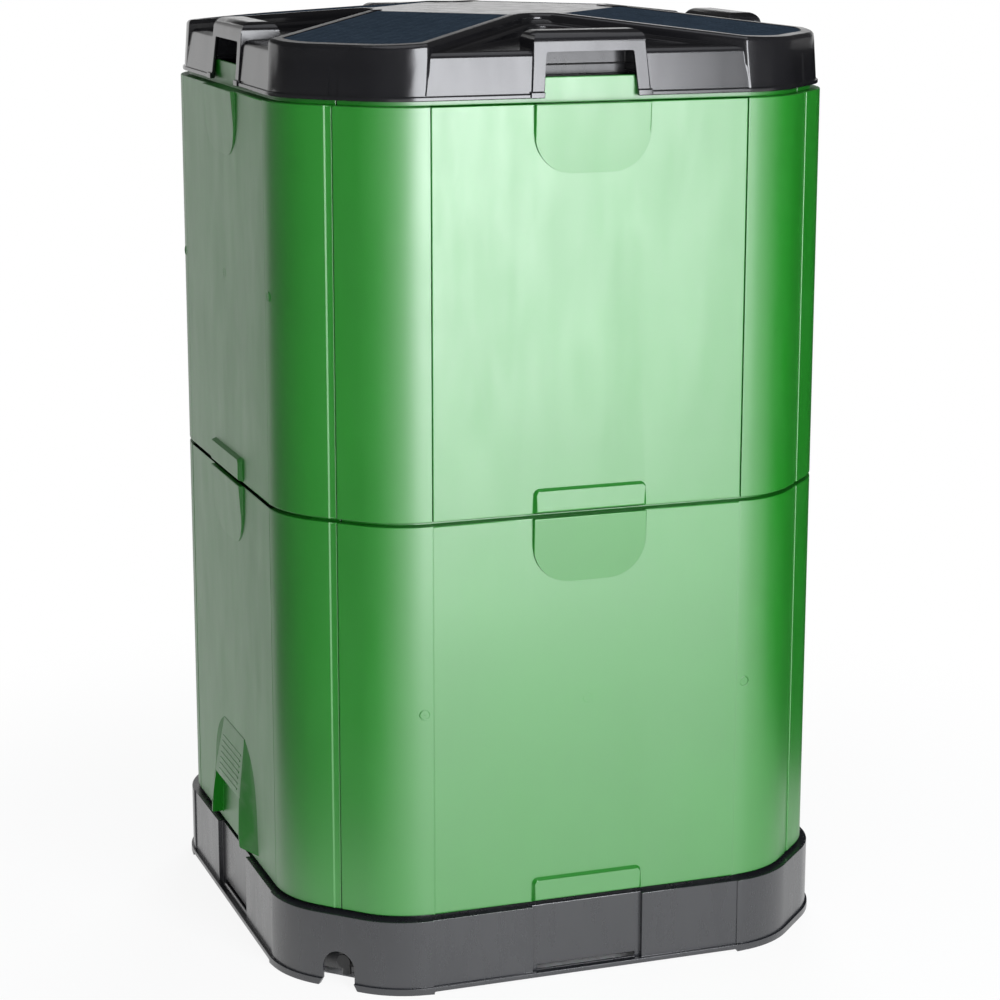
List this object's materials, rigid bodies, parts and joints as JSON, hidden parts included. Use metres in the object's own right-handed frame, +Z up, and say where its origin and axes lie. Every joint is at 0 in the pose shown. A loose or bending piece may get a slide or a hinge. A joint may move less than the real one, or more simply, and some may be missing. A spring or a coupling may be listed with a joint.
{
  "type": "insulated compost bin",
  "caption": "Square insulated compost bin with chamfered corners: drain base with tap, stacked foam-filled wall panels, pull-out doors, inner aeration lung and lift-off hooped lid.",
  "frame": {"origin": "on the ground under the middle of the bin", "axes": "+Z up, -Y out of the front, -X out of the left side with a door"},
  "size_m": [0.7464, 0.74, 1.178],
  "materials": {
    "panel_green": "satin",
    "lid_black": "gloss",
    "base_black": "satin",
    "liner_grey": "matte",
    "foam": "matte",
    "tap_black": "satin",
    "seal_rubber": "matte",
    "screw_steel": "satin"
  },
  "bodies": {
    "bin": {"back_insert_core": "foam", "back_insert_liner": "liner_grey", "back_insert_shell": "panel_green", "base_skirt": "base_black", "drain_floor": "liner_grey", "front_insert_core": "foam", "front_insert_liner": "liner_grey", "front_insert_shell": "panel_green", "leachate_tray": "base_black", "lower_back_core": "foam", "lower_back_liner": "liner_grey", "lower_back_shell": "panel_green", "lower_front_core": "foam", "lower_front_liner": "liner_grey", "lower_front_shell": "panel_green", "lower_left_frame": "panel_green", "lower_left_frame_core": "foam", "lower_left_frame_liner": "liner_grey", "lower_right_frame": "panel_green", "lower_right_frame_core": "foam", "lower_right_frame_liner": "liner_grey", "lung_cap": "liner_grey", "lung_lower": "liner_grey", "lung_upper": "liner_grey", "tap_body": "tap_black", "tap_nut": "tap_black", "tap_washer": "seal_rubber", "upper_back_frame": "panel_green", "upper_back_frame_core": "foam", "upper_back_frame_liner": "liner_grey", "upper_front_frame": "panel_green", "upper_front_frame_core": "foam", "upper_front_frame_liner": "liner_grey", "upper_left_core": "foam", "upper_left_liner": "liner_grey", "upper_left_shell": "panel_green", "upper_right_core": "foam", "upper_right_liner": "liner_grey", "upper_right_shell": "panel_green"},
    "lid": {"lid_core": "foam", "lid_liner": "lid_black", "lid_screws": "screw_steel", "lid_shell": "lid_black"},
    "left_door": {"left_door_core": "foam", "left_door_liner": "liner_grey", "left_door_shell": "panel_green"},
    "right_door": {"right_door_core": "foam", "right_door_liner": "liner_grey", "right_door_shell": "panel_green"},
    "tap_lever": {"tap_lever": "tap_black"}
  },
  "joints": [
    {"name": "lid_lift", "type": "slide", "parent": "bin", "child": "lid", "axis": [0, 0, 1], "range_m": [0, 0.3]},
    {"name": "left_door_pull_out", "type": "slide", "parent": "bin", "child": "left_door", "axis": [-1, 0, 0], "range_m": [0, 0.25]},
    {"name": "right_door_pull_out", "type": "slide", "parent": "bin", "child": "right_door", "axis": [1, 0, 0], "range_m": [0, 0.25]},
    {"name": "tap_turn", "type": "hinge", "parent": "bin", "child": "tap_lever", "pos_m": [-0.2907, -0.2907, 0.04], "axis": [0, 0, 1], "range_deg": [0, 90]}
  ]
}
